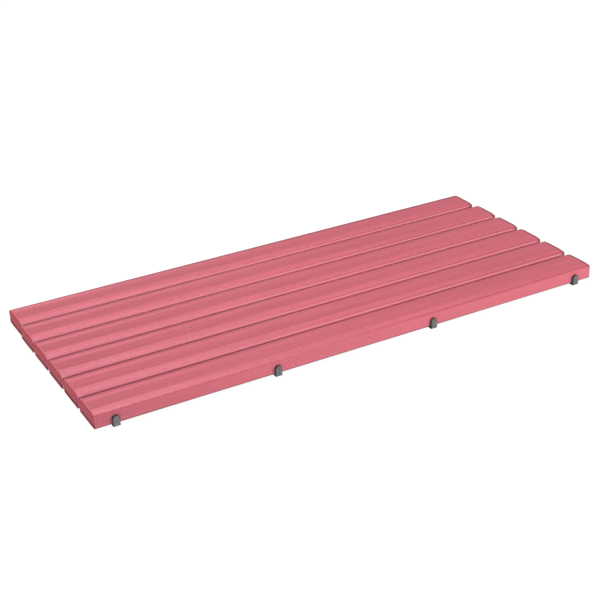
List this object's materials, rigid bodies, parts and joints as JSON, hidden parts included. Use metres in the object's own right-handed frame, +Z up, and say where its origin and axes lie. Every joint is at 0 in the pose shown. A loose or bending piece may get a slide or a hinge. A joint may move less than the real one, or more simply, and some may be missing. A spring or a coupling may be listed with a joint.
{
  "type": "slatted platform top",
  "caption": "Flat slatted platform of long round-edged painted timber planks, held side by side on flat steel cross straps whose rounded ends turn up over the long edges.",
  "frame": {"origin": "on the ground under the middle of the platform, level with the underside of the straps", "axes": "+X along the planks towards the right end, -Y towards the front edge, +Z up out of the walking surface"},
  "size_m": [1.5, 0.657, 0.047],
  "materials": {
    "painted_timber": "satin pink paint over planed timber, faint grain showing",
    "grey_steel": "dull grey zinc on hot rolled flat bar",
    "zinc_screw": "bright zinc plate"
  },
  "bodies": {
    "root": {"plank_1": "painted_timber", "plank_2": "painted_timber", "plank_3": "painted_timber", "plank_4": "painted_timber", "plank_5": "painted_timber", "plank_6": "painted_timber", "strap_1": "grey_steel", "strap_2": "grey_steel", "strap_3": "grey_steel", "strap_4": "grey_steel", "strap_1_screws": "zinc_screw", "strap_2_screws": "zinc_screw", "strap_3_screws": "zinc_screw", "strap_4_screws": "zinc_screw"}
  },
  "joints": []
}
